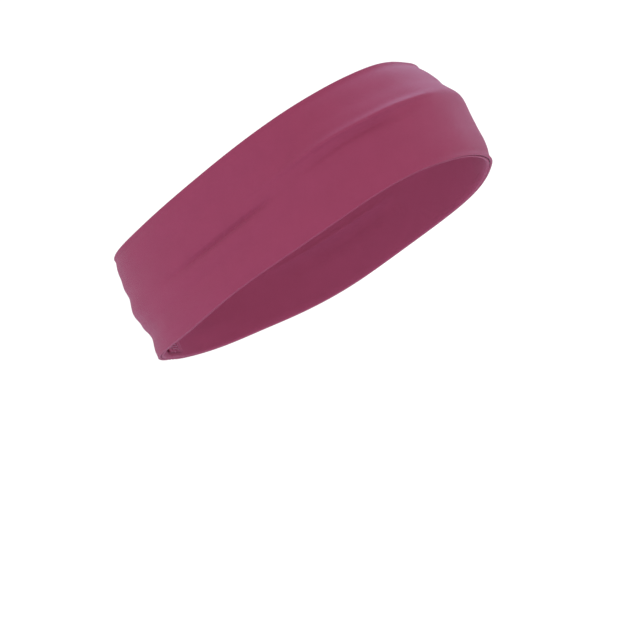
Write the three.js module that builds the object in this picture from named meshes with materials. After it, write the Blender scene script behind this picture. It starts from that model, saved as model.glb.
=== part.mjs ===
// Sports headband: a doubled loop of stretch jersey, in the shape that it takes on a head.
// Millimetres, +Z up. The origin is the middle of the loop, where the head goes, and the wearer faces -Y.
//
// Two long panels, the face and the lining, are seamed along both edges with their raw edges turned in,
// so each edge is four plies thick and stands proud of the face like a bead. The ends meet at the nape,
// where they are turned in, pressed open over the lining and held by two rows of topstitching.
//
// The loop is built level, then tilted: it is worn high on the forehead and low on the nape.

import * as THREE from "three";

// Loop, measured to the face cloth half way up.
const HALF_LENGTH = 97.5;
const HALF_BREADTH = 75;
const SQUARENESS = 2.15; // exponent of the plan curve: 2 is an ellipse
const NAPE_TAPER = 0.15; // how much wider the plan is in front of the ears than behind them
const HALF_WIDTH = 29.2; // mid-line to upper or lower edge
const WIDTH_TAPER = 0.04; // wider by this share at the forehead, narrower at the nape
const SIDE_DIP = 2.5; // the mid-line lies this much lower at the sides
const BROW_LEVEL = 0.6; // and evens out by this much towards the temples
const TILT = THREE.MathUtils.degToRad(33.1);

// Cloth.
const PLY = 0.6;
const GAP = 0.3; // clearance between neighbouring solids
const PITCH = PLY + GAP; // one ply and its clearance
const FOLD = 0.4; // how far a folded edge rounds over
const ALLOWANCE = 3.2; // depth of the raw edges turned in along both edges
const BODY_STACK = PITCH + PLY; // thickness half way up: lining and face
const BEAD_RISE = 2 * PITCH; // the two turned-in plies, which lift the face near each edge
const BEAD_SLOPE = 12; // height over which the face comes back down to the lining

// Lean of the cloth: how far it stands out of the plan curve, by height from -1 at the lower edge to 1.
const BROW_KNEE = 0.12; // height of the ridge where the forehead turns into the crown
const BROW_BULGE = 5;
const BROW_FLARE = 7.8; // slope below the ridge
const BROW_LEAN = 28; // change of slope above it
const KNEE_SOFTNESS = 0.12;
const NAPE_LEAN = [1.2, -2, -5.7]; // constant, linear and square terms
const TEMPLE_LEAN = [2.7, -2, -1];

// Stitching.
const OVERLOCK = 1; // width of the chain over the raw edges
const SEAM_SLIT = 1.0; // room between the panels' ends, where the joining stitch lies
const SEAM_THREAD = 0.4;
const TURNBACK = 8; // width of each panel end that is turned in at the nape
const TURNBACK_STACK = 2 * PLY; // face and lining together
const TOPSTITCH_OFFSET = 4; // from the seam to each row
const STITCH_WIDTH = 0.6;
const STITCH_RISE = 0.35;
const LOOPER_HALF_WIDTH = 5;
const TACK_HALF_WIDTH = 3;
const TACK_HEIGHT = 1.6;
const TACK_FROM_EDGE = 1.6;
const TACK_RISE = 0.5;

const LOOP_STEPS = 58;
const SEAM_STEPS = 3;

const FULL_BEAD = HALF_WIDTH - ALLOWANCE - OVERLOCK - 2 * GAP; // above this height the bead is full
const BEAD_FOOT = FULL_BEAD - BEAD_SLOPE;
const RAW_EDGE = HALF_WIDTH - ALLOWANCE;
const EDGE_CORNER = HALF_WIDTH - FOLD;
const SLOT_END = HALF_WIDTH - 2 * PLY; // inside of a fold
const SLOPE_HEIGHTS = [BEAD_FOOT, BEAD_FOOT + BEAD_SLOPE / 3, FULL_BEAD - BEAD_SLOPE / 3];
const RIDGE_HEIGHTS = [-5, 0, 3.5, 6, 8.5]; // closer together where the cloth bends over the brow ridge
const WALL_HEIGHTS = [...SLOPE_HEIGHTS.map((h) => -h).reverse(), ...RIDGE_HEIGHTS, ...SLOPE_HEIGHTS];

// The loop

const quadratic = ([constant, linear, square], x) => constant + linear * x + square * x * x;
const softRamp = (x) => KNEE_SOFTNESS * Math.log1p(Math.exp(x / KNEE_SOFTNESS));

// How far the skin side stands out of the plan curve, at angle u from the front and height s from -1 to 1.
function lean(u, s) {
  const front = Math.max(0, Math.cos(u)) ** 2;
  const back = Math.max(0, -Math.cos(u)) ** 2;
  const brow = BROW_BULGE + BROW_FLARE * (s - BROW_KNEE) - BROW_LEAN * softRamp(s - BROW_KNEE);
  return front * brow + back * quadratic(NAPE_LEAN, s) + (1 - front - back) * quadratic(TEMPLE_LEAN, s);
}

// The plan curve: a squared ellipse, broader towards the front. u runs from the front by the wearer's left.
function plan(u) {
  const sin = Math.sin(u);
  const cos = Math.cos(u);
  const reach = (Math.abs(sin) ** SQUARENESS + Math.abs(cos) ** SQUARENESS) ** (-1 / SQUARENESS);
  return new THREE.Vector3(HALF_BREADTH * sin * reach * (1 + NAPE_TAPER * cos), -HALF_LENGTH * cos * reach, 0);
}

function outward(u) {
  const step = 1e-4;
  const along = plan(u + step).sub(plan(u - step));
  return new THREE.Vector3(along.y, -along.x, 0).normalize();
}

// The point at angle u, a height above the mid-line, and so far out of the skin side.
function place(u, height, out) {
  const point = plan(u).addScaledVector(outward(u), lean(u, height / HALF_WIDTH) + out - BODY_STACK);
  const midLine = SIDE_DIP * Math.cos(2 * u) - BROW_LEVEL * Math.cos(3 * u);
  point.z = height * (1 + WIDTH_TAPER * Math.cos(u)) + midLine;
  return point;
}

// Angle that a length along the loop spans at the nape, where the plan curve's radius is all but even.
const NAPE_SAMPLE = 0.01;
const NAPE_RADIUS = plan(Math.PI - NAPE_SAMPLE).distanceTo(plan(Math.PI)) / NAPE_SAMPLE;
const napeAngle = (length) => length / NAPE_RADIUS;

// Triangles that close a section at angle u, in the curved shape that it has there.
function cap(section, u) {
  const curved = section.map(({ x, y }) => new THREE.Vector2(x, y + lean(u, x / HALF_WIDTH)));
  return THREE.ShapeUtils.triangulateShape(curved, []);
}

// Carries a closed section, in (height, out) and anticlockwise, from angle start to angle end.
function sweep(section, start, end, steps) {
  const count = section.length;
  const positions = [];
  for (let k = 0; k <= steps; k++) {
    const u = THREE.MathUtils.lerp(start, end, k / steps);
    for (const { x, y } of section) positions.push(...place(u, x, y).toArray());
  }
  const index = [];
  for (let k = 0; k < steps; k++) {
    for (let i = 0; i < count; i++) {
      const a = k * count + i;
      const b = k * count + ((i + 1) % count);
      index.push(a, b, b + count, a, b + count, a + count);
    }
  }
  const last = steps * count;
  for (const [a, b, c] of cap(section, start)) index.push(c, b, a);
  for (const [a, b, c] of cap(section, end)) index.push(last + a, last + b, last + c);
  const geometry = new THREE.BufferGeometry();
  geometry.setAttribute("position", new THREE.Float32BufferAttribute(positions, 3));
  geometry.setIndex(index);
  geometry.computeVertexNormals();
  return geometry;
}

// Sections, in (height, out)

const points = (pairs) => pairs.map(([height, out]) => new THREE.Vector2(height, out));
const mirrored = (pairs) => pairs.map(([height, out]) => [-height, out]).reverse();

// How far the bead lifts the face at a height.
function beadLift(height) {
  return BEAD_RISE * THREE.MathUtils.smoothstep(Math.abs(height), BEAD_FOOT, FULL_BEAD);
}

// The face panel: a wall that the beads lift, with each edge folded over and turned in.
function faceSection() {
  const inner = 2 * PITCH; // skin side of the turned-in ply
  const outer = BODY_STACK + BEAD_RISE;
  const upperFold = [
    [FULL_BEAD, outer - PLY],
    [SLOT_END, outer - PLY],
    [SLOT_END, inner + PLY],
    [RAW_EDGE, inner + PLY],
    [RAW_EDGE, inner],
    [EDGE_CORNER, inner],
    [HALF_WIDTH, (inner + outer) / 2],
    [EDGE_CORNER, outer],
    [FULL_BEAD, outer],
  ];
  const skinSide = WALL_HEIGHTS.map((height) => [height, PITCH]);
  const outside = WALL_HEIGHTS.map((height) => [height, BODY_STACK]).reverse();
  return points([...skinSide, ...upperFold, ...outside, ...mirrored(upperFold)]);
}

// The lining panel: a plain wall on the skin side, with its edges turned in against the face's.
function liningSection() {
  const upperFold = [
    [EDGE_CORNER, 0],
    [HALF_WIDTH, BODY_STACK / 2],
    [EDGE_CORNER, BODY_STACK],
    [RAW_EDGE, BODY_STACK],
    [RAW_EDGE, PITCH],
    [SLOT_END, PITCH],
    [SLOT_END, PLY],
  ];
  const skinSide = WALL_HEIGHTS.map((height) => [height, 0]);
  const outside = WALL_HEIGHTS.map((height) => [height, PLY]).reverse();
  return points([...skinSide, ...upperFold, ...outside, ...mirrored(upperFold)]);
}

// The overlock chain just inside one edge, over the raw edges of both panels.
function overlockSection(side) {
  const near = RAW_EDGE - GAP;
  const far = near - OVERLOCK;
  const box = [
    [far, PITCH],
    [near, PITCH],
    [near, BODY_STACK + PITCH],
    [far, BODY_STACK + PITCH],
  ];
  return points(side > 0 ? box : mirrored(box));
}

// A strip that follows the cloth from one height to another. `from` and `to` give its two sides.
function stripSection(low, high, from, to) {
  const between = [...WALL_HEIGHTS, -FULL_BEAD, FULL_BEAD].filter((h) => h > low && h < high);
  const heights = [low, ...between.sort((a, b) => a - b), high];
  return points([
    ...heights.map((height) => [height, from(height)]),
    ...heights.map((height) => [height, to(height)]).reverse(),
  ]);
}

const onFace = (lift) => (height) => BODY_STACK + beadLift(height) + GAP + lift;
const onSkin = (depth) => () => -GAP - depth;

// Parts

const berry = { color: 0x964461, roughness: 0.85, metalness: 0 };
const faceCloth = new THREE.MeshStandardMaterial(berry);
const liningCloth = new THREE.MeshStandardMaterial({ ...berry, color: 0x8a3c58, roughness: 0.9 });
const thread = new THREE.MeshStandardMaterial({ ...berry, color: 0x9c4a68, roughness: 0.6 });

function part(name, geometry, material) {
  const mesh = new THREE.Mesh(geometry, material);
  mesh.name = name;
  return mesh;
}

function panels() {
  const end = Math.PI - napeAngle(SEAM_SLIT / 2);
  return [
    part("face_panel", sweep(faceSection(), -end, end, LOOP_STEPS), faceCloth),
    part("lining_panel", sweep(liningSection(), -end, end, LOOP_STEPS), liningCloth),
    part("upper_edge_overlock", sweep(overlockSection(1), -end, end, LOOP_STEPS), thread),
    part("lower_edge_overlock", sweep(overlockSection(-1), -end, end, LOOP_STEPS), thread),
  ];
}

// A strip on the nape, from one distance past the seam to another; the wearer's left is negative.
function napeStrip(name, section, start, end, material) {
  const at = (distance) => Math.PI + napeAngle(distance);
  return part(name, sweep(section, at(start), at(end), SEAM_STEPS), material);
}

function napeSeam() {
  const reach = HALF_WIDTH - FOLD;
  const turnback = stripSection(-reach, reach, onSkin(TURNBACK_STACK), onSkin(0));
  const row = stripSection(-reach, reach, onFace(0), onFace(STITCH_RISE));
  const looperBase = TURNBACK_STACK + GAP;
  const looper = stripSection(-SLOT_END, SLOT_END, onSkin(looperBase + STITCH_RISE), onSkin(looperBase));
  const joining = stripSection(-reach, reach, () => 0, (height) => BODY_STACK + beadLift(height) / 2);
  const near = SEAM_SLIT / 2;
  const half = STITCH_WIDTH / 2;
  return [
    napeStrip("nape_turnback_left", turnback, -TURNBACK, -near, faceCloth),
    napeStrip("nape_turnback_right", turnback, near, TURNBACK, faceCloth),
    napeStrip("nape_joining_stitch", joining, -SEAM_THREAD / 2, SEAM_THREAD / 2, thread),
    napeStrip("nape_topstitch_left", row, -TOPSTITCH_OFFSET - half, -TOPSTITCH_OFFSET + half, thread),
    napeStrip("nape_topstitch_right", row, TOPSTITCH_OFFSET - half, TOPSTITCH_OFFSET + half, thread),
    napeStrip("nape_looper_thread", looper, -LOOPER_HALF_WIDTH, LOOPER_HALF_WIDTH, thread),
  ];
}

// A short dense row of stitches across the seam, near one edge.
function tack(name, side) {
  const edge = HALF_WIDTH - TACK_FROM_EDGE;
  const [low, high] = side > 0 ? [edge - TACK_HEIGHT, edge] : [-edge, TACK_HEIGHT - edge];
  const section = stripSection(low, high, onFace(0), onFace(TACK_RISE));
  return napeStrip(name, section, -TACK_HALF_WIDTH, TACK_HALF_WIDTH, thread);
}

const band = new THREE.Group();
band.add(...panels(), ...napeSeam(), tack("upper_tack", 1), tack("lower_tack", -1));
band.rotation.x = -TILT;

const headband = new THREE.Group();
headband.add(band);

export default headband;
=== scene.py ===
# Sports headband: a doubled loop of stretch jersey, in the shape that it takes on a head.
#
# The loop is a plan curve that the cloth leans in and out of. Every layer and thread is placed by three
# numbers: u is the angle round the loop, 0 at the front and growing towards the wearer's left, height is
# across the band from its mid-line, and out is how far something stands out of the skin side. Lengths are
# in millimetres, in the loop's own level frame, until place() tilts them into the part's frame in metres.
# The loop, its lean and its plies have the same driving dimensions as the CAD part.

import math

import bpy
import numpy as np
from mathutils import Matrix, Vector


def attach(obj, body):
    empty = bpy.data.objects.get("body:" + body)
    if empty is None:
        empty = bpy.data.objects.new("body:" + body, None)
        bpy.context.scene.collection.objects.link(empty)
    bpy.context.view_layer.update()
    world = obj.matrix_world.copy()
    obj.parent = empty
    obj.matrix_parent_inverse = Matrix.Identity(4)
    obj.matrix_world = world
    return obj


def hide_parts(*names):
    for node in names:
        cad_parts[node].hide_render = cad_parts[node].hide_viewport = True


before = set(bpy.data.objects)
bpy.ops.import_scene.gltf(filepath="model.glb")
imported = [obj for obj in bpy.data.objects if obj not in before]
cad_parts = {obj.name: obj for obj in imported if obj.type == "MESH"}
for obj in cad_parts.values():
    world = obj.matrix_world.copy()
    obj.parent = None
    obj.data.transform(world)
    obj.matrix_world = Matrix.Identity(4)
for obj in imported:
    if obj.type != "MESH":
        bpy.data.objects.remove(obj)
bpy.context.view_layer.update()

MM = 0.001

# Loop, measured to the face cloth half way up.
HALF_LENGTH = 97.5
HALF_BREADTH = 75.0
SQUARENESS = 2.15  # exponent of the plan curve: 2 is an ellipse
NAPE_TAPER = 0.15  # how much wider the plan is in front of the ears than behind them
HALF_WIDTH = 29.2  # mid-line to upper or lower edge
WIDTH_TAPER = 0.04  # wider by this share at the forehead, narrower at the nape
SIDE_DIP = 2.5  # the mid-line lies this much lower at the sides
BROW_LEVEL = 0.6  # and evens out by this much towards the temples
TILT = math.radians(33.1)

# Lean of the cloth out of the plan curve, by s, the height from -1 at the lower edge to 1 at the upper.
BROW_KNEE = 0.12  # height of the ridge where the forehead turns into the crown
BROW_BULGE = 5.0  # at the ridge
BROW_FLARE = 7.8  # slope below the ridge
BROW_LEAN = 28.0  # change of slope above it
KNEE_SOFTNESS = 0.12
NAPE_LEAN = (1.2, -2.0, -5.7)  # constant, linear and square terms
TEMPLE_LEAN = (2.7, -2.0, -1.0)

# Cloth.
PLY = 0.6
GAP = 0.3  # between neighbouring plies
PITCH = PLY + GAP
BODY_STACK = PITCH + PLY  # lining and face
ALLOWANCE = 3.2  # depth of the raw edges turned in along both edges
OVERLOCK = 1.0  # width of the chain over the raw edges
BEAD_RISE = 2 * PITCH  # the turned-in plies lift the face by this much
BEAD_SLOPE = 12.0  # height over which the face comes back down to the lining
FULL_BEAD = HALF_WIDTH - ALLOWANCE - OVERLOCK - 2 * GAP
BEAD_FOOT = FULL_BEAD - BEAD_SLOPE

# Nape seam.
SEAM_GAP = 0.003  # from the seam to each end of a panel
SEAM_ROLL = 1.3  # radius with which each end turns into the seam
SEAM_DEPTH = 0.62  # share of the band's thickness that the seam is deep
TOPSTITCH_OFFSET = 4.0  # from the seam to each row of stitches
TOPSTITCH_GROOVE = 0.25  # how far each row draws the cloth in
TOPSTITCH_GROOVE_WIDTH = 0.7

# The ends of the band, which are turned in at the nape seam and pressed back over the lining.
TURNBACK = 8.0  # width of each end
TURNBACK_INSET = 2.2  # from the band's edges
PRESSED_PLY = 0.9 * PLY  # thickness of a ply that is pressed flat
TURNBACK_GAP = 0.005  # from the seam to each turned-in ply
TURNBACK_START = TURNBACK_GAP + PRESSED_PLY / 2  # from the seam to its middle
TURNBACK_ENTRY = 0.5  # straight length of each ply in the seam, before its bend
OUTER_BEND = 0.9  # radius of the bend in the ply that shows
OUTER_LEVEL = -1.2  # how far out its middle is
UNDER_BEND = 0.3
UNDER_LEVEL = -0.57
UNDER_SHORTER = 0.5  # how much narrower the ply beneath is
UNDER_INSET = 0.4  # from the upper and lower ends of the ply that shows

# Fineness of the meshes.
LOOP_STEPS = 330
SEAM_STEPS = 30  # over the last SEAM_REACH millimetres at each end of a panel
SEAM_REACH = 7.0
HEIGHT_STEP = 0.58
FOLD_STEPS = 8
ALLOWANCE_POINTS = 5
BEND_POINTS = 7
TURNBACK_POINTS = 12


# ---------------------------------------------------------------- curves


def bump(x, centre, width):
    """A bell, 1 at its centre."""
    return np.exp(-(((x - centre) / width) ** 2))


def two_sided(x, above, below):
    """A bell at 0 with its own width on each side."""
    return bump(x, 0, np.where(x > 0, above, below))


def smoothstep(x, start, end):
    """Rises from 0 at start to 1 at end."""
    t = np.clip((x - start) / (end - start), 0.0, 1.0)
    return t * t * (3 - 2 * t)


def fade(x, start, full, end, gone):
    """Rises from start to full, stays at 1, and falls from end to gone."""
    return smoothstep(x, start, full) * (1 - smoothstep(x, end, gone))


def soft_ramp(x):
    """0 below 0 and x above it, rounded in between."""
    return KNEE_SOFTNESS * np.log1p(np.exp(x / KNEE_SOFTNESS))


def quadratic(terms, x):
    return terms[0] + terms[1] * x + terms[2] * x * x


def profile(x, bands):
    """The sum of several bells, each given by its rise, middle and width."""
    return sum(rise * bump(x, middle, width) for rise, middle, width in bands)


def degrees(u):
    """The angle u in degrees, from -180 to 180."""
    return np.degrees(np.angle(np.exp(1j * u)))


# ---------------------------------------------------------------- the loop


def lean(u, s):
    """How far the band's outside stands out of the plan curve, before any fold."""
    front = np.maximum(0.0, np.cos(u)) ** 2
    back = np.maximum(0.0, -np.cos(u)) ** 2
    brow = BROW_BULGE + BROW_FLARE * (s - BROW_KNEE) - BROW_LEAN * soft_ramp(s - BROW_KNEE)
    nape = quadratic(NAPE_LEAN, s)
    temple = quadratic(TEMPLE_LEAN, s)
    return front * brow + back * nape + (1 - front - back) * temple


def plan(u):
    """The loop seen from above: a squarish ellipse, narrower towards the nape."""
    sin, cos = np.sin(u), np.cos(u)
    reach = (np.abs(sin) ** SQUARENESS + np.abs(cos) ** SQUARENESS) ** (-1 / SQUARENESS)
    x = HALF_BREADTH * sin * reach * (1 + NAPE_TAPER * cos)
    return np.stack([x, -HALF_LENGTH * cos * reach], -1)


def outward(u):
    """The plan curve's unit normal, away from the head."""
    step = 1e-4
    along = plan(u + step) - plan(u - step)
    normal = np.stack([along[..., 1], -along[..., 0]], -1)
    return normal / np.linalg.norm(normal, axis=-1, keepdims=True)


# ---------------------------------------------------------------- folds and creases

# A REACH is in degrees round the loop: where a fold starts, is full, begins to fall and is gone. A START
# is the first two of these, and an END is the last two. A LINE, a BAND, WIDTHS and HEIGHTS are in s: a
# BAND is a middle and a width, WIDTHS are above a line and below it, and HEIGHTS are where a fold starts
# and is full. Rises, depths and leans are in millimetres.

RIDGE_LINE = 0.12
RIDGE_ARCH = 0.03  # the line is higher by this much in the middle
RIDGE_ARCH_WIDTH = 16  # degrees
RIDGE_CLIMB = 0.05  # and by this much towards the ears
RIDGE_CLIMB_START = (38, 66)
RIDGE_RISE = 0.68
RIDGE_END = (48, 82)
RIDGE_WIDTHS = (0.1, 0.17)
SHOULDER_RISE = 1.6
SHOULDER_REACH = (24, 40, 50, 82)
SHOULDER_WIDTHS = (0.45, 0.15)
CREST_RISE = 2.0
CREST_REACH_RIGHT = (6, 34, 54, 86)  # on the wearer's right
CREST_REACH_LEFT = (24, 40, 54, 86)
CREST_WIDTHS = (0.07, 0.04)
HOLLOW_DEPTH = 0.8
HOLLOW_REACH = (16, 32, 40, 58)
HOLLOW_BAND = (-0.14, 0.08)  # from the ridge's line

FOREHEAD_FULLNESS = 1.25
FOREHEAD_END = (22, 50)
FOREHEAD_BAND = (-0.55, 0.28)

CROWN_LEAN = 1.2
CROWN_LEAN_REACH = (20, 38, 52, 80)
CROWN_LEAN_HEIGHTS = (0.25, 1.0)
CROWN_EASE = 1.2
CROWN_EASE_PLACE = (18, 16)  # middle, on the wearer's left, and width, in degrees
CROWN_EASE_HEIGHTS = (0.38, 0.6)

CREASE_LINE = -0.07  # at the ear and behind it
CREASE_DROP = 0.08  # from the temple to the ear
CREASE_DROP_START = (50, 85)
TEMPLE_CREASE = 0.9
TEMPLE_REACH = (32, 42, 54, 76)
EAR_CREASE = 1.6
EAR_REACH = (72, 88, 100, 130)
CREASE_PROFILE = (  # share of the depth, and band, of the slit, the valley and the shoulder below them
    (-0.8, 0.0, 0.045),
    (-0.5, 0.03, 0.12),
    (0.4, -0.19, 0.12),
)

NAPE_EASE = 0.25
NAPE_FOLDS = (  # rise and band of each
    (0.7, 0.45, 0.12),
    (-0.3, 0.22, 0.09),
    (1.4, -0.06, 0.18),
    (0.5, -0.36, 0.09),
    (-0.6, -0.6, 0.11),
    (2.2, -0.93, 0.15),
)
NAPE_START = (128, 162)
SEAM_HOLD = 0.35  # share of the folds that the seam flattens
SEAM_HOLD_WIDTH = 7  # degrees

SLACK = 0.12
SLACK_WAVES = (  # share, waves round the loop, turn across the band, and phase
    (1.0, 5, 2.2, 0.4),
    (1.0, 9, -3.1, 2.0),
    (0.6, 14, 4.0, 0.0),
)

EDGE_CURL = 1.4
EDGE_CURL_DEPTH = 3.4  # of the part that curls, from the edge
SIDE_CURL = 0.35  # share of the curl that is left at the sides
NAPE_LIP = 0.4
NAPE_LIP_FROM = 0.7  # cosine of the angle from the nape
EDGE_WANDER = 0.6
WANDER_WAVES = 6
WANDER_PHASE = 1.15
WANDER_REACH = (15, 35, 120, 150)
WANDER_HEIGHTS = (0.2, 1.0)  # below the mid-line


def brow_ridge(angle, s):
    """
    A fold across the forehead, with cloth eased over it above the temples and a sharper crest there,
    which starts nearer the middle on the wearer's right.
    """
    side = np.abs(angle)
    arch = RIDGE_ARCH * bump(side, 0, RIDGE_ARCH_WIDTH)
    above = s - (RIDGE_LINE + arch + RIDGE_CLIMB * smoothstep(side, *RIDGE_CLIMB_START))
    fold = RIDGE_RISE * (1 - smoothstep(side, *RIDGE_END)) * two_sided(above, *RIDGE_WIDTHS)
    shoulder = SHOULDER_RISE * fade(side, *SHOULDER_REACH) * two_sided(above, *SHOULDER_WIDTHS)
    crest_reach = np.where(angle < 0, fade(side, *CREST_REACH_RIGHT), fade(side, *CREST_REACH_LEFT))
    crest = CREST_RISE * crest_reach * two_sided(above, *CREST_WIDTHS)
    hollow = HOLLOW_DEPTH * fade(side, *HOLLOW_REACH) * bump(above, *HOLLOW_BAND)
    return fold + shoulder + crest - hollow


def forehead(side, s):
    """The forehead rounds the cloth out below the ridge."""
    return FOREHEAD_FULLNESS * (1 - smoothstep(side, *FOREHEAD_END)) * bump(s, *FOREHEAD_BAND)


def crown(angle, s):
    """Above the ridge the cloth leans in over the temples, and is eased a little beside the middle."""
    leaning = CROWN_LEAN * fade(np.abs(angle), *CROWN_LEAN_REACH) * smoothstep(s, *CROWN_LEAN_HEIGHTS)
    return CROWN_EASE * bump(angle, *CROWN_EASE_PLACE) * smoothstep(s, *CROWN_EASE_HEIGHTS) - leaning


def ear_crease(side, s):
    """A narrow crease from the temple to behind the ear, with a low shoulder below it."""
    line = CREASE_LINE + CREASE_DROP * (1 - smoothstep(side, *CREASE_DROP_START))
    depth = TEMPLE_CREASE * fade(side, *TEMPLE_REACH) + EAR_CREASE * fade(side, *EAR_REACH)
    return depth * profile(s - line, CREASE_PROFILE)


def nape_folds(side, s):
    """The cloth bunches at the nape, in folds that run round it and are flatter where the seam is."""
    held = 1 - SEAM_HOLD * bump(side, 180, SEAM_HOLD_WIDTH)
    return smoothstep(side, *NAPE_START) * held * (NAPE_EASE + profile(s, NAPE_FOLDS))


def slack(u, s):
    """Broad, faint unevenness all round the loop."""
    waves = [share * np.sin(count * u + turn * s + phase) for share, count, turn, phase in SLACK_WAVES]
    return SLACK * sum(waves)


def relief(u, s):
    """How far folds lift the cloth."""
    angle = degrees(u)
    side = np.abs(angle)
    brow = brow_ridge(angle, s) + forehead(side, s)
    return brow + crown(angle, s) + ear_crease(side, s) + nape_folds(side, s) + slack(u, s)


def edge_curl(u, height):
    """The last few millimetres of each edge curl out from the head, most at forehead and nape."""
    ends = SIDE_CURL + (1 - SIDE_CURL) * np.cos(u) ** 2
    depth = np.clip(1 - (HALF_WIDTH - np.abs(height)) / EDGE_CURL_DEPTH, 0.0, 1.0)
    nape_lip = NAPE_LIP * smoothstep(-np.cos(u), NAPE_LIP_FROM, 1.0) * smoothstep(-height, 0, HALF_WIDTH)
    return (EDGE_CURL * ends + nape_lip) * depth**2


def edge_wander(u, s):
    """The lower edge wanders up and down a little between forehead and nape."""
    reach = fade(np.abs(degrees(u)), *WANDER_REACH) * smoothstep(-s, *WANDER_HEIGHTS)
    return -EDGE_WANDER * reach * np.cos(WANDER_WAVES * u + WANDER_PHASE)


def place(u, height, out):
    """The point at angle u, a height above the mid-line and so far out of the skin side, in metres."""
    u, height, out = np.broadcast_arrays(*(np.asarray(value, float) for value in (u, height, out)))
    s = height / HALF_WIDTH
    reach = lean(u, s) + relief(u, s) + edge_curl(u, height) + out - BODY_STACK
    level = plan(u) + outward(u) * reach[..., None]
    z = height * (1 + WIDTH_TAPER * np.cos(u)) + SIDE_DIP * np.cos(2 * u) - BROW_LEVEL * np.cos(3 * u)
    z = z + edge_wander(u, s)
    x, y = level[..., 0], level[..., 1]
    cos, sin = math.cos(TILT), math.sin(TILT)
    return np.stack([x, y * cos + z * sin, z * cos - y * sin], -1) * MM


# The plan curve's length per radian at the nape, by which short lengths there turn into angles.
NAPE_SAMPLE = 0.01
NAPE_RADIUS = float(np.linalg.norm(plan(math.pi - NAPE_SAMPLE) - plan(math.pi))) / NAPE_SAMPLE


def nape_angle(length):
    """The angle round the loop of a short length at the nape."""
    return length / NAPE_RADIUS


def seam_distance(u):
    """Millimetres from the nape seam, near it."""
    return (math.pi - np.abs(u)) * NAPE_RADIUS


def at_nape(distance, height, out):
    """The point a distance past the nape seam, on the wearer's right where it is positive."""
    return place(math.pi + nape_angle(distance), height, out)


# ---------------------------------------------------------------- meshes


def mesh_object(name, points, faces, material, uv=None):
    """A smooth object in the scene. uv gives each point its place on the cloth, in millimetres."""
    mesh = bpy.data.meshes.new(name)
    mesh.from_pydata(points.reshape(-1, 3).tolist(), [], faces)
    if uv is not None:
        layer = mesh.uv_layers.new(name="cloth")
        corners = np.empty(len(mesh.loops), dtype=np.int32)
        mesh.loops.foreach_get("vertex_index", corners)
        layer.data.foreach_set("uv", uv.reshape(-1, 2)[corners].ravel())
    mesh.polygons.foreach_set("use_smooth", [True] * len(mesh.polygons))
    mesh.materials.append(material)
    mesh.update()
    piece = bpy.data.objects.new(name, mesh)
    bpy.context.collection.objects.link(piece)
    return piece


def sweep_faces(steps, count):
    """Quads of a closed section of count points, carried over steps spans."""
    faces = []
    for k in range(steps):
        for i in range(count):
            a = k * count + i
            b = k * count + (i + 1) % count
            faces.append((a, b, b + count, a + count))
    return faces


def cap_faces(first, count, flip):
    """Closes a section of count points, where point i faces point count - 1 - i across a ply."""
    faces = []
    for i in range(count // 2 - 1):
        quad = (first + i, first + i + 1, first + count - 2 - i, first + count - 1 - i)
        faces.append(quad if flip else quad[::-1])
    return faces


def ply_faces(steps, count):
    """A closed section carried over steps spans, with a cap at each end."""
    return sweep_faces(steps, count) + cap_faces(0, count, False) + cap_faces(steps * count, count, True)


def path_lengths(points):
    """The length along a line at each of its points."""
    return np.concatenate([[0.0], np.cumsum(np.linalg.norm(np.diff(points, axis=0), axis=1))])


def unit_tangents(line):
    along = np.gradient(line, axis=0)
    return along / np.linalg.norm(along, axis=1, keepdims=True)


def thicken(line, thickness):
    """A closed section: the line offset to both sides by half the thickness."""
    along = unit_tangents(line)
    normal = np.stack([-along[:, 1], along[:, 0]], -1) * thickness / 2
    return np.concatenate([line - normal, (line + normal)[::-1]])


def there_and_back(values):
    """Values along a line, for both sides of its section."""
    return np.concatenate([values, values[::-1]])


# ---------------------------------------------------------------- plies of cloth


def bead_lift(height):
    """How far the turned-in edges lift the face at a height."""
    return BEAD_RISE * smoothstep(np.abs(height), BEAD_FOOT, FULL_BEAD)


def half_circle(centre_height, centre_out, radius, rising):
    """The centre line of a folded upper edge, from the skin side outwards or back."""
    angle = np.linspace(-math.pi / 2, math.pi / 2, FOLD_STEPS + 1)[1:-1]
    line = np.stack([centre_height + radius * np.cos(angle), centre_out + radius * np.sin(angle)], -1)
    return line if rising else line[::-1]


def panel_line(wall, turned_in):
    """
    The centre line of a panel across the band, as (height, out), from one raw edge to the other.
    wall gives how far out the wall stands at a height, and turned_in is the same of the turned-in edges.
    """
    edge_wall = float(wall(HALF_WIDTH))
    radius = abs(edge_wall - turned_in) / 2
    corner = HALF_WIDTH - PLY / 2 - radius
    heights = np.linspace(-corner, corner, round(2 * corner / HEIGHT_STEP) + 1)
    middle = np.stack([heights, wall(heights)], -1)
    centre_out = (edge_wall + turned_in) / 2
    fold = half_circle(corner, centre_out, radius, rising=turned_in > centre_out)
    inner_heights = np.linspace(corner, HALF_WIDTH - ALLOWANCE, ALLOWANCE_POINTS)
    allowance = np.stack([inner_heights, np.full(ALLOWANCE_POINTS, turned_in)], -1)
    upper = np.concatenate([fold, allowance])
    lower = upper[::-1] * (-1, 1)
    return np.concatenate([lower, middle, upper])


def settle(u, out):
    """The seam draws the cloth in: the plies roll down into it, and dip under the topstitching."""
    distance = seam_distance(u)
    turn = np.clip(1 - distance / SEAM_ROLL, 0, 1)
    rolled = out * (1 - SEAM_DEPTH * (1 - np.sqrt(1 - turn**2)))
    groove = TOPSTITCH_GROOVE * bump(distance, TOPSTITCH_OFFSET, TOPSTITCH_GROOVE_WIDTH)
    return rolled - groove * smoothstep(out, 0.0, BODY_STACK)


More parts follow.
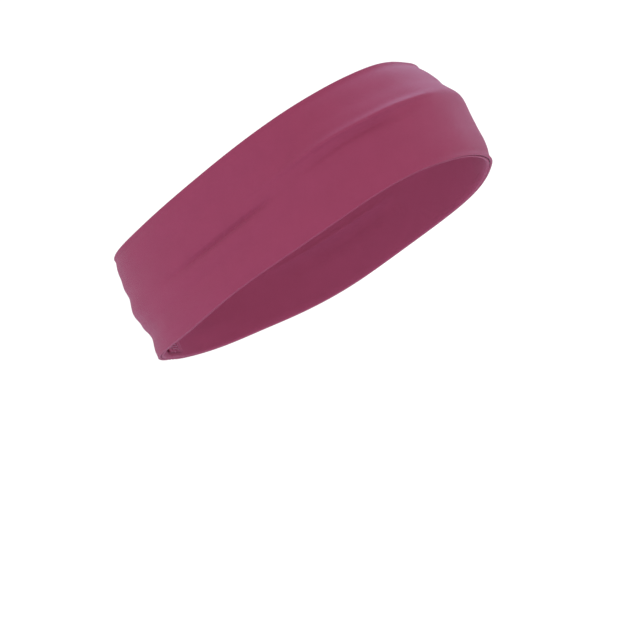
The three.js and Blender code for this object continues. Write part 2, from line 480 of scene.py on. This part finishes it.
def panel_angles():
    """From one end of a panel round to the other, in finer steps near the nape seam."""
    near = math.pi - nape_angle(SEAM_REACH)
    tail = np.linspace(near, math.pi - nape_angle(SEAM_GAP), SEAM_STEPS + 1)[1:]
    return np.concatenate([-tail[::-1], np.linspace(-near, near, LOOP_STEPS + 1), tail])


def panel(name, line, material):
    """A ply of cloth that follows the centre line across the band and goes round the loop."""
    section = thicken(line, PLY)
    angles = panel_angles()
    u = angles[:, None]
    points = place(u, section[None, :, 0], settle(u, section[None, :, 1]))
    across = there_and_back(path_lengths(line))
    along = path_lengths(place(angles, 0.0, BODY_STACK) / MM)
    uv = np.stack(np.broadcast_arrays(along[:, None], across[None, :]), -1)
    return mesh_object(name, points, ply_faces(len(angles) - 1, len(section)), material, uv)


def face_panel(material):
    """The outer length of cloth, which rises near each edge over the plies turned in there."""
    def wall(height):
        return PITCH + PLY / 2 + bead_lift(height)

    return panel("face_sheet", panel_line(wall, 2 * PITCH + PLY / 2), material)


def lining_panel(material):
    """The inner length of cloth, flat against the head, with its raw edges turned in towards the face."""
    def wall(height):
        return np.full_like(np.asarray(height, float), PLY / 2)

    return panel("lining_sheet", panel_line(wall, PITCH + PLY / 2), material)


def turnback_path(side, bend, level, width):
    """
    The centre line of a turned-in ply, as (distance past the seam, out): it comes in through the seam,
    turns with a bend of that radius and runs at its level to its width.
    """
    angle = np.linspace(0, math.pi / 2, BEND_POINTS)
    run_start = TURNBACK_START + bend
    entry = np.array([[TURNBACK_START, level + bend + TURNBACK_ENTRY]])
    turn = np.stack([run_start - bend * np.cos(angle), level + bend - bend * np.sin(angle)], -1)
    distances = np.linspace(run_start, width, TURNBACK_POINTS)[1:]
    run = np.stack([distances, np.full(len(distances), level)], -1)
    line = np.concatenate([entry, turn, run])
    line[:, 0] *= side
    return line if side > 0 else line[::-1]


def nape_sheet(name, path, reach, material):
    """A pressed ply that follows the path, from reach above the mid-line to as far below it."""
    section = thicken(path, PRESSED_PLY)
    heights = np.linspace(reach, -reach, round(2 * reach / HEIGHT_STEP) + 1)[:, None]
    points = at_nape(section[None, :, 0], heights, section[None, :, 1])
    across = there_and_back(path_lengths(path))
    uv = np.stack(np.broadcast_arrays(across[None, :], heights), -1)
    return mesh_object(name, points, ply_faces(len(heights) - 1, len(section)), material, uv)


def turnback(side, name, face_cloth, lining_cloth):
    """One end of the band, turned in at the seam and pressed back over the lining: two plies."""
    outer_path = turnback_path(side, OUTER_BEND, OUTER_LEVEL, TURNBACK)
    under_path = turnback_path(side, UNDER_BEND, UNDER_LEVEL, TURNBACK - UNDER_SHORTER)
    reach = HALF_WIDTH - TURNBACK_INSET
    outer = nape_sheet(name, outer_path, reach, face_cloth)
    under = nape_sheet(name + "_under", under_path, reach - UNDER_INSET, lining_cloth)
    under.parent = outer
    return outer


# ---------------------------------------------------------------- threads

THREAD = 0.28  # diameter
THREAD_SIDES = 6
STITCH = 2.5  # pitch

TOPSTITCH_INSET = 1.0  # from the band's edges to the ends of a row
TOPSTITCH_HOLE = 0.06  # share of a stitch that is left free at each of its ends
TOPSTITCH_ARCH = 0.42  # how far the thread rises between its ends
TOPSTITCH_ARCH_FULLNESS = 0.6  # exponent of the arch: the nearer 0, the steeper its ends
TOPSTITCH_SINK = 0.3  # how far its ends lie in the cloth
TOPSTITCH_POINTS = 9

LOOPER_INSET = 0.5  # from the turned-in ends' edges
LOOPER_TURNS = (  # share of a stitch, and distance past the seam
    (0.0, -4.6),
    (0.25, -4.2),
    (0.5, 4.2),
    (0.75, 4.6),
    (0.85, 4.2),
    (0.95, -4.2),
)
LOOPER_SMOOTHING = 4
LOOPER_WAVE = 0.1  # how far the zigzag strays from the cloth
LOOPER_WAVE_TURN = 1.3  # radians per millimetre
LOOPER_CHAIN_POINTS = 8  # per stitch
LOOPER_CHAIN_SWAY = 0.22
LOOPER_CHAIN_LIFT = 0.8 * THREAD  # off the zigzag, towards the head

RUNG_HALF_LENGTH = 0.45  # of each rung of the joining stitch, across the seam
RUNG_PITCH = 0.8 * STITCH
RUNG_SLANT = 0.4
RUNG_LIFT = 0.1
RUNG_SAG = 0.3  # of its ends, per square millimetre
RUNG_POINTS = 7
RUNGS_LOWER_INSET = 1.2
RUNGS_UPPER_INSET = 1.0

TACK_HALF_WIDTH = 3.0
TACK_HEIGHT = 1.6
TACK_FROM_EDGE = 1.6
TACK_ROWS = 15  # strokes of the zigzag
TACK_SMOOTHING = 3
TACK_THREAD = 1.15 * THREAD
TACK_LIFT = 0.22 * THREAD
TACK_DIP = 0.35  # into the seam
TACK_DIP_WIDTH = 0.8

EDGE_CHAIN_THREAD = 0.8 * THREAD
EDGE_CHAIN_POINTS = 12  # per stitch
EDGE_CHAIN_TOP = HALF_WIDTH - 0.85  # just inside the folded edge
EDGE_CHAIN_FOOT = HALF_WIDTH - ALLOWANCE - 0.7 * OVERLOCK  # past the raw edges
EDGE_CHAIN_ENDS = 0.004  # radians short of the panels' ends
EDGE_CHAIN_DEPTH = 0.9
EDGE_CHAIN_SQUARENESS = 0.5  # exponent of the wrap: the nearer 0, the longer it stays at top and foot


def tube(points, radius):
    """Vertices and faces of a round strand along the points."""
    along = unit_tangents(points)
    side = np.cross(along[0], (0.31, 0.47, 0.83))  # any direction that no strand runs in
    angle = np.linspace(0, 2 * math.pi, THREAD_SIDES, endpoint=False)[:, None]
    rings = []
    for point, direction in zip(points, along):
        side = side - direction * np.dot(side, direction)
        side /= np.linalg.norm(side)
        other = np.cross(direction, side)
        rings.append(point + radius * (np.cos(angle) * side + np.sin(angle) * other))
    first_end = range(THREAD_SIDES)
    last_end = range((len(points) - 1) * THREAD_SIDES, len(points) * THREAD_SIDES)
    faces = sweep_faces(len(points) - 1, THREAD_SIDES)
    faces += [tuple(first_end)[::-1], tuple(last_end)]
    return np.concatenate(rings), faces


def strands(name, paths, material, diameter=THREAD):
    """One object of a round strand along each path."""
    points = []
    faces = []
    total = 0
    for path in paths:
        strand_points, strand_faces = tube(path, diameter / 2 * MM)
        points.append(strand_points)
        faces += [tuple(i + total for i in face) for face in strand_faces]
        total += len(strand_points)
    return mesh_object(name, np.concatenate(points), faces, material)


def smooth_points(values, factor):
    """Catmull-Rom points through a list of numbers."""
    values = np.asarray(values, float)
    padded = np.concatenate([values[:1], values, values[-1:]])
    t = np.linspace(0, 1, factor, endpoint=False)[None, :]
    a, b, c, d = (padded[i : len(values) - 1 + i][:, None] for i in range(4))
    curve = b + 0.5 * t * (c - a + t * (2 * a - 5 * b + 4 * c - d + t * (3 * (b - c) + d - a)))
    return np.append(curve.ravel(), values[-1])


def face_out(height):
    """How far out the face's outside stands at a height."""
    return BODY_STACK + bead_lift(height)


def topstitch_row(side, name, material):
    """Needle thread on the face beside the nape seam: one short arch per stitch."""
    first = -HALF_WIDTH + TOPSTITCH_INSET
    t = np.linspace(0, 1, TOPSTITCH_POINTS)
    share = TOPSTITCH_HOLE + (1 - 2 * TOPSTITCH_HOLE) * t
    rise = TOPSTITCH_ARCH * np.sin(math.pi * t) ** TOPSTITCH_ARCH_FULLNESS - TOPSTITCH_SINK
    paths = []
    for k in range(int(-2 * first / STITCH)):
        height = first + (k + share) * STITCH
        out = face_out(height) - TOPSTITCH_GROOVE + rise + THREAD / 2
        paths.append(at_nape(side * TOPSTITCH_OFFSET, height, out))
    return strands(name, paths, material)


def looper_thread(material):
    """The cover stitch's back: a thread that zigzags between the two needle rows, chained at each."""
    base = OUTER_LEVEL - PRESSED_PLY / 2 - THREAD / 2
    first = -HALF_WIDTH + TURNBACK_INSET + LOOPER_INSET
    stitches = int(-2 * first / STITCH)
    shares, turns = np.array(LOOPER_TURNS).T
    heights = first + STITCH * np.add.outer(np.arange(stitches), shares).ravel()
    heights = smooth_points(heights, LOOPER_SMOOTHING)
    distances = smooth_points(np.tile(turns, stitches), LOOPER_SMOOTHING)
    wave = LOOPER_WAVE * np.sin(LOOPER_WAVE_TURN * distances)
    paths = [at_nape(distances, heights, base + wave)]
    chain_heights = np.linspace(first, -first, stitches * LOOPER_CHAIN_POINTS)
    sway = LOOPER_CHAIN_SWAY * np.sin(2 * math.pi * chain_heights / STITCH)
    for side in (-1, 1):
        paths.append(at_nape(side * TOPSTITCH_OFFSET + sway, chain_heights, base - LOOPER_CHAIN_LIFT))
    return strands("nape_looper", paths, material)


def joining_stitch(material):
    """Rungs of the seam that show in the slit between the two ends."""
    distance = np.linspace(-RUNG_HALF_LENGTH, RUNG_HALF_LENGTH, RUNG_POINTS)
    paths = []
    for height in np.arange(-HALF_WIDTH + RUNGS_LOWER_INSET, HALF_WIDTH - RUNGS_UPPER_INSET, RUNG_PITCH):
        out = face_out(height) * (1 - SEAM_DEPTH) + RUNG_LIFT - RUNG_SAG * distance**2
        paths.append(at_nape(distance, height + RUNG_SLANT * distance, out))
    return strands("nape_seam_rungs", paths, material)


def tack(side, name, material):
    """A bar of dense zigzag across the seam, near one edge."""
    middle = side * (HALF_WIDTH - TACK_FROM_EDGE - TACK_HEIGHT / 2)
    corners = np.repeat(np.linspace(-TACK_HALF_WIDTH, TACK_HALF_WIDTH, TACK_ROWS), 2)
    up_and_down = np.resize((-1, 1, 1, -1), len(corners))
    distance = smooth_points(corners, TACK_SMOOTHING)
    height = smooth_points(middle + TACK_HEIGHT / 2 * up_and_down, TACK_SMOOTHING)
    out = BODY_STACK + BEAD_RISE + TACK_LIFT - TACK_DIP * bump(distance, 0, TACK_DIP_WIDTH)
    return strands(name, [at_nape(distance, height, out)], material, TACK_THREAD)


def edge_overlock(side, name, material):
    """The chain that joins the panels inside an edge: a thread that winds round their raw edges."""
    angles = panel_angles()
    length = path_lengths(place(angles, side * HALF_WIDTH, BODY_STACK) / MM)[-1]
    points = int(length / STITCH) * EDGE_CHAIN_POINTS + 1
    u = np.linspace(angles[0] + EDGE_CHAIN_ENDS, angles[-1] - EDGE_CHAIN_ENDS, points)
    turn = 2 * math.pi * np.arange(points) / EDGE_CHAIN_POINTS
    wrap = np.abs(np.cos(turn)) ** EDGE_CHAIN_SQUARENESS * np.sign(np.cos(turn))
    height = (EDGE_CHAIN_TOP + EDGE_CHAIN_FOOT) / 2 + wrap * (EDGE_CHAIN_TOP - EDGE_CHAIN_FOOT) / 2
    out = PITCH + BODY_STACK / 2 + EDGE_CHAIN_DEPTH * np.sin(turn)
    return strands(name, [place(u, side * height, out)], material, EDGE_CHAIN_THREAD)


# ---------------------------------------------------------------- materials

WALE = 0.75  # width of a column of stitches
COURSE = 0.6  # height of a row
STITCH_SLANT = 1.8  # rows that each leg of a V climbs over a whole column's width
STITCH_DEPTH = 0.16
STITCH_RELIEF = 0.5  # strength of the bump
STITCH_SHADE_SHARE = 0.7  # share of the tone that is painted shade, darker between the stitches and lighter on the loops, the rest being the dye
TONE_RANGE = (0.15, 0.85)
TONE_SHADES = (0.93, 1.23)  # of the cloth's colour, from the darkest tone to the lightest

# Noise patterns, each a scale per metre and a detail.
DYE_PATCHES = (90.0, 4.0)
CLOTH_NAP = (900.0, 2.0)
THREAD_FIBRES = (2500.0, 2.0)

FACE_COLOUR = (0.258, 0.0365, 0.088)
LINING_COLOUR = (0.25, 0.037, 0.088)
CLOTH_ROUGHNESS = 0.68  # at its smoothest
ROUGHNESS_SPREAD = 0.16
CLOTH_SHEEN_TINT = (0.68, 0.74, 1.0, 1)
THREAD_COLOURS = ((0.27, 0.045, 0.11), (0.36, 0.08, 0.16))
THREAD_TONE_RANGE = (0.3, 0.7)
THREAD_SHEEN_TINT = (0.9, 0.75, 1.0, 1)


def new_material(name):
    """A material, its node tree and its shader."""
    material = bpy.data.materials.new(name)
    material.use_nodes = True
    return material, material.node_tree, material.node_tree.nodes["Principled BSDF"]


def math_node(tree, operation, *values):
    """An operation on numbers and on other nodes' outputs."""
    node = tree.nodes.new("ShaderNodeMath")
    node.operation = operation
    for socket, value in zip(node.inputs, values):
        if isinstance(value, (int, float)):
            socket.default_value = value
        else:
            tree.links.new(value, socket)
    return node.outputs[0]


def noise_node(tree, scale, detail):
    """A noise pattern in the object's own coordinates."""
    where = tree.nodes.new("ShaderNodeTexCoord")
    node = tree.nodes.new("ShaderNodeTexNoise")
    node.inputs["Scale"].default_value = scale
    node.inputs["Detail"].default_value = detail
    tree.links.new(where.outputs["Object"], node.inputs["Vector"])
    return node.outputs["Fac"]


def ramp_node(tree, value, span, colours):
    """Blends from the first colour to the second as the value crosses the span."""
    node = tree.nodes.new("ShaderNodeValToRGB")
    for element, position, colour in zip(node.color_ramp.elements, span, colours):
        element.position = position
        element.color = (*colour, 1)
    tree.links.new(value, node.inputs["Fac"])
    return node.outputs["Color"]


def knit_height(tree):
    """Height of jersey stitches, 0 to 1: columns of Vs, in the cloth's own coordinates in millimetres."""
    where = tree.nodes.new("ShaderNodeUVMap")
    where.uv_map = "cloth"
    split = tree.nodes.new("ShaderNodeSeparateXYZ")
    tree.links.new(where.outputs["UV"], split.inputs[0])
    from_middle = math_node(tree, "PINGPONG", math_node(tree, "DIVIDE", split.outputs["X"], WALE), 0.5)
    leg = math_node(tree, "SINE", math_node(tree, "MULTIPLY", from_middle, 2 * math.pi))
    row = math_node(tree, "DIVIDE", split.outputs["Y"], COURSE)
    slanted = math_node(tree, "ADD", row, math_node(tree, "MULTIPLY", from_middle, STITCH_SLANT))
    yarn = math_node(tree, "PINGPONG", slanted, 0.5)
    return math_node(tree, "MULTIPLY", yarn, math_node(tree, "ADD", leg, 1.0))


def cloth(name, colour, sheen):
    """Jersey, with painted shade that darkens the colour between the stitches and lightens it on the
    loops, over a faint unevenness of the dye.
    """
    material, tree, shader = new_material(name)
    loops = knit_height(tree)
    # painted shade: the colour follows the stitches' height, darker between the stitches and lighter on
    # the loops
    painted_stitch_shade = math_node(tree, "MULTIPLY", loops, STITCH_SHADE_SHARE)
    dye_tone = math_node(tree, "MULTIPLY", noise_node(tree, *DYE_PATCHES), 1 - STITCH_SHADE_SHARE)
    tone = math_node(tree, "ADD", painted_stitch_shade, dye_tone)
    shades = [tuple(channel * share for channel in colour) for share in TONE_SHADES]
    tree.links.new(ramp_node(tree, tone, TONE_RANGE, shades), shader.inputs["Base Color"])
    nap = noise_node(tree, *CLOTH_NAP)
    roughness = math_node(tree, "MULTIPLY_ADD", nap, ROUGHNESS_SPREAD, CLOTH_ROUGHNESS)
    tree.links.new(roughness, shader.inputs["Roughness"])
    shader.inputs["Specular IOR Level"].default_value = 0.22
    shader.inputs["Sheen Weight"].default_value = sheen
    shader.inputs["Sheen Roughness"].default_value = 0.25
    shader.inputs["Sheen Tint"].default_value = CLOTH_SHEEN_TINT
    stitches = tree.nodes.new("ShaderNodeBump")
    stitches.inputs["Strength"].default_value = STITCH_RELIEF
    stitches.inputs["Distance"].default_value = STITCH_DEPTH * MM
    tree.links.new(loops, stitches.inputs["Height"])
    tree.links.new(stitches.outputs["Normal"], shader.inputs["Normal"])
    return material


def thread_material():
    """Polyester thread, lighter and darker along its fibres."""
    material, tree, shader = new_material("polyester thread")
    colour = ramp_node(tree, noise_node(tree, *THREAD_FIBRES), THREAD_TONE_RANGE, THREAD_COLOURS)
    tree.links.new(colour, shader.inputs["Base Color"])
    shader.inputs["Roughness"].default_value = 0.5
    shader.inputs["Sheen Weight"].default_value = 0.3
    shader.inputs["Sheen Tint"].default_value = THREAD_SHEEN_TINT
    return material


# ---------------------------------------------------------------- the headband


def make_headband():
    """Every piece, by the CAD node that it stands for."""
    face_cloth = cloth("raspberry jersey", FACE_COLOUR, sheen=0.15)
    lining_cloth = cloth("raspberry jersey lining", LINING_COLOUR, sheen=0.1)
    thread = thread_material()
    pieces = {
        "face_panel": face_panel(face_cloth),
        "lining_panel": lining_panel(lining_cloth),
        "nape_turnback_left": turnback(-1, "turnback_left_sheet", face_cloth, lining_cloth),
        "nape_turnback_right": turnback(1, "turnback_right_sheet", face_cloth, lining_cloth),
        "upper_edge_overlock": edge_overlock(1, "upper_overlock_chain", thread),
        "lower_edge_overlock": edge_overlock(-1, "lower_overlock_chain", thread),
        "nape_joining_stitch": joining_stitch(thread),
        "nape_topstitch_left": topstitch_row(-1, "topstitch_row_left", thread),
        "nape_topstitch_right": topstitch_row(1, "topstitch_row_right", thread),
        "nape_looper_thread": looper_thread(thread),
        "upper_tack": tack(1, "upper_bar_tack", thread),
        "lower_tack": tack(-1, "lower_bar_tack", thread),
    }
    for node, piece in pieces.items():
        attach(piece, "root")
        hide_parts(node)
    return pieces


# ---------------------------------------------------------------- the studio, in metres

CAMERA_AZIMUTH = math.radians(-68)
CAMERA_DISTANCE = 1.5
CAMERA_LENS = 167.2
AIM_RIGHT = 0.0113  # the camera aims to the right of the loop's middle and below it
AIM_DOWN = 0.054
FLOOR_HALF_SIZE = 12.0
FLOOR_DROP = 0.30
FLOOR_TONE = 0.93
WORLD_STRENGTH = 1.12
KEY_UP = 0.95  # the key light stands above the band and behind it
KEY_BEHIND = 0.75
KEY_SIZE = 1.1
KEY_POWER = 17.0
KEY_COLOUR = (0.4, 0.75, 1.0)


def add_looking_at(thing, target):
    """Adds a camera or a light to the scene, turned to look at the target."""
    thing.rotation_mode = "QUATERNION"
    thing.rotation_quaternion = (target - thing.location).to_track_quat("-Z", "Y")
    bpy.context.collection.objects.link(thing)


def make_camera():
    """The photo's view. Returns the direction from the band to the camera."""
    to_camera = Vector((math.sin(CAMERA_AZIMUTH), -math.cos(CAMERA_AZIMUTH), 0))
    right = Vector((-to_camera.y, to_camera.x, 0))
    data = bpy.data.cameras.new("camera")
    data.lens = CAMERA_LENS
    data.sensor_width = 36.0
    data.clip_start = 0.05
    data.clip_end = 50.0
    camera = bpy.data.objects.new("camera", data)
    camera.location = to_camera * CAMERA_DISTANCE
    add_looking_at(camera, right * AIM_RIGHT - Vector((0, 0, AIM_DOWN)))
    bpy.context.scene.camera = camera
    return to_camera


def make_floor():
    """A pale floor well below the band, which the world's light turns white."""
    size = FLOOR_HALF_SIZE
    corners = [(-size, -size, 0), (size, -size, 0), (size, size, 0), (-size, size, 0)]
    mesh = bpy.data.meshes.new("floor")
    mesh.from_pydata(corners, [], [(0, 1, 2, 3)])
    material, _, shader = new_material("pale floor")
    shader.inputs["Base Color"].default_value = (FLOOR_TONE, FLOOR_TONE, FLOOR_TONE, 1)
    shader.inputs["Roughness"].default_value = 0.9
    mesh.materials.append(material)
    floor = bpy.data.objects.new("floor", mesh)
    floor.location.z = -FLOOR_DROP
    bpy.context.collection.objects.link(floor)


def make_world():
    """Even white light from all round, and colours shown as they are."""
    world = bpy.data.worlds.new("studio")
    world.use_nodes = True
    background = world.node_tree.nodes["Background"]
    background.inputs["Color"].default_value = (1, 1, 1, 1)
    background.inputs["Strength"].default_value = WORLD_STRENGTH
    bpy.context.scene.world = world
    bpy.context.scene.view_settings.view_transform = "Standard"


def make_key_light(to_camera):
    """A cool light from above and behind, which gives the crown and the ridge their bluish shine."""
    data = bpy.data.lights.new("key", "AREA")
    data.size = KEY_SIZE
    data.energy = KEY_POWER
    data.color = KEY_COLOUR
    light = bpy.data.objects.new("key", data)
    light.location = Vector((0, 0, KEY_UP)) - to_camera * KEY_BEHIND
    add_looking_at(light, Vector((0, 0, 0)))


pieces = make_headband()
to_camera = make_camera()
make_floor()
make_world()
make_key_light(to_camera)
